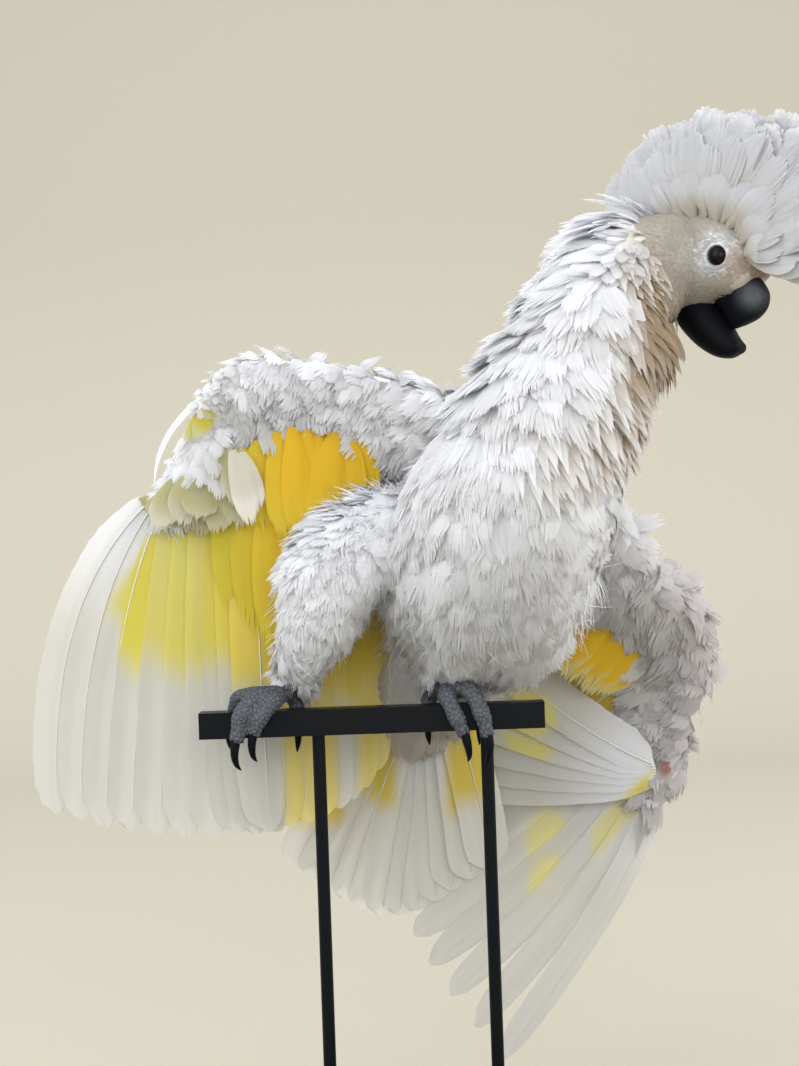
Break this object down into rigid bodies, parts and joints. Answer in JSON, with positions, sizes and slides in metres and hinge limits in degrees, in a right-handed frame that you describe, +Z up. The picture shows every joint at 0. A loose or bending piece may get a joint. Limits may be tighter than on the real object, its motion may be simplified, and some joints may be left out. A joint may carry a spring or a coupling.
{
  "type": "cockatoo display model",
  "caption": "Life-size white cockatoo with open wings, yellow underwings and raised crest, gripping a square perch bar on a flat display stand.",
  "frame": {"origin": "centre of the underside of the stand base", "axes": "+Z up, +X towards the bird's left side where its head is stretched out, -Y the way its breast faces"},
  "size_m": [0.4182, 0.2548, 0.5177],
  "materials": {
    "white_plumage": "soft matt",
    "flight_feathers": "satin vane, yellow at the base and white to the tip",
    "bill_horn": "semi-gloss horn with a powdery bloom",
    "claw_horn": "semi-gloss horn",
    "eye": "wet gloss",
    "scaly_skin": "matt granular scales",
    "black_steel": "black satin paint"
  },
  "bodies": {
    "root": {"bill_lower": "bill_horn", "bill_upper": "bill_horn", "claw_left_1": "claw_horn", "claw_left_2": "claw_horn", "claw_left_3": "claw_horn", "claw_left_4": "claw_horn", "claw_right_1": "claw_horn", "claw_right_2": "claw_horn", "claw_right_3": "claw_horn", "claw_right_4": "claw_horn", "crest": "white_plumage", "eye_left": "eye", "eye_right": "eye", "foot_left": "scaly_skin", "foot_right": "scaly_skin", "forearm_left": "white_plumage", "forearm_right": "white_plumage", "hand_left": "white_plumage", "hand_right": "white_plumage", "head": "white_plumage", "neck": "white_plumage", "perch_bar": "black_steel", "primaries_left": "flight_feathers", "primaries_right": "flight_feathers", "secondaries_left": "flight_feathers", "secondaries_right": "flight_feathers", "stand_base": "black_steel", "stand_rod_left": "black_steel", "stand_rod_right": "black_steel", "tail": "flight_feathers", "thigh_left": "white_plumage", "thigh_right": "white_plumage", "trunk": "white_plumage", "upper_arm_left": "white_plumage", "upper_arm_right": "white_plumage"}
  },
  "joints": []
}
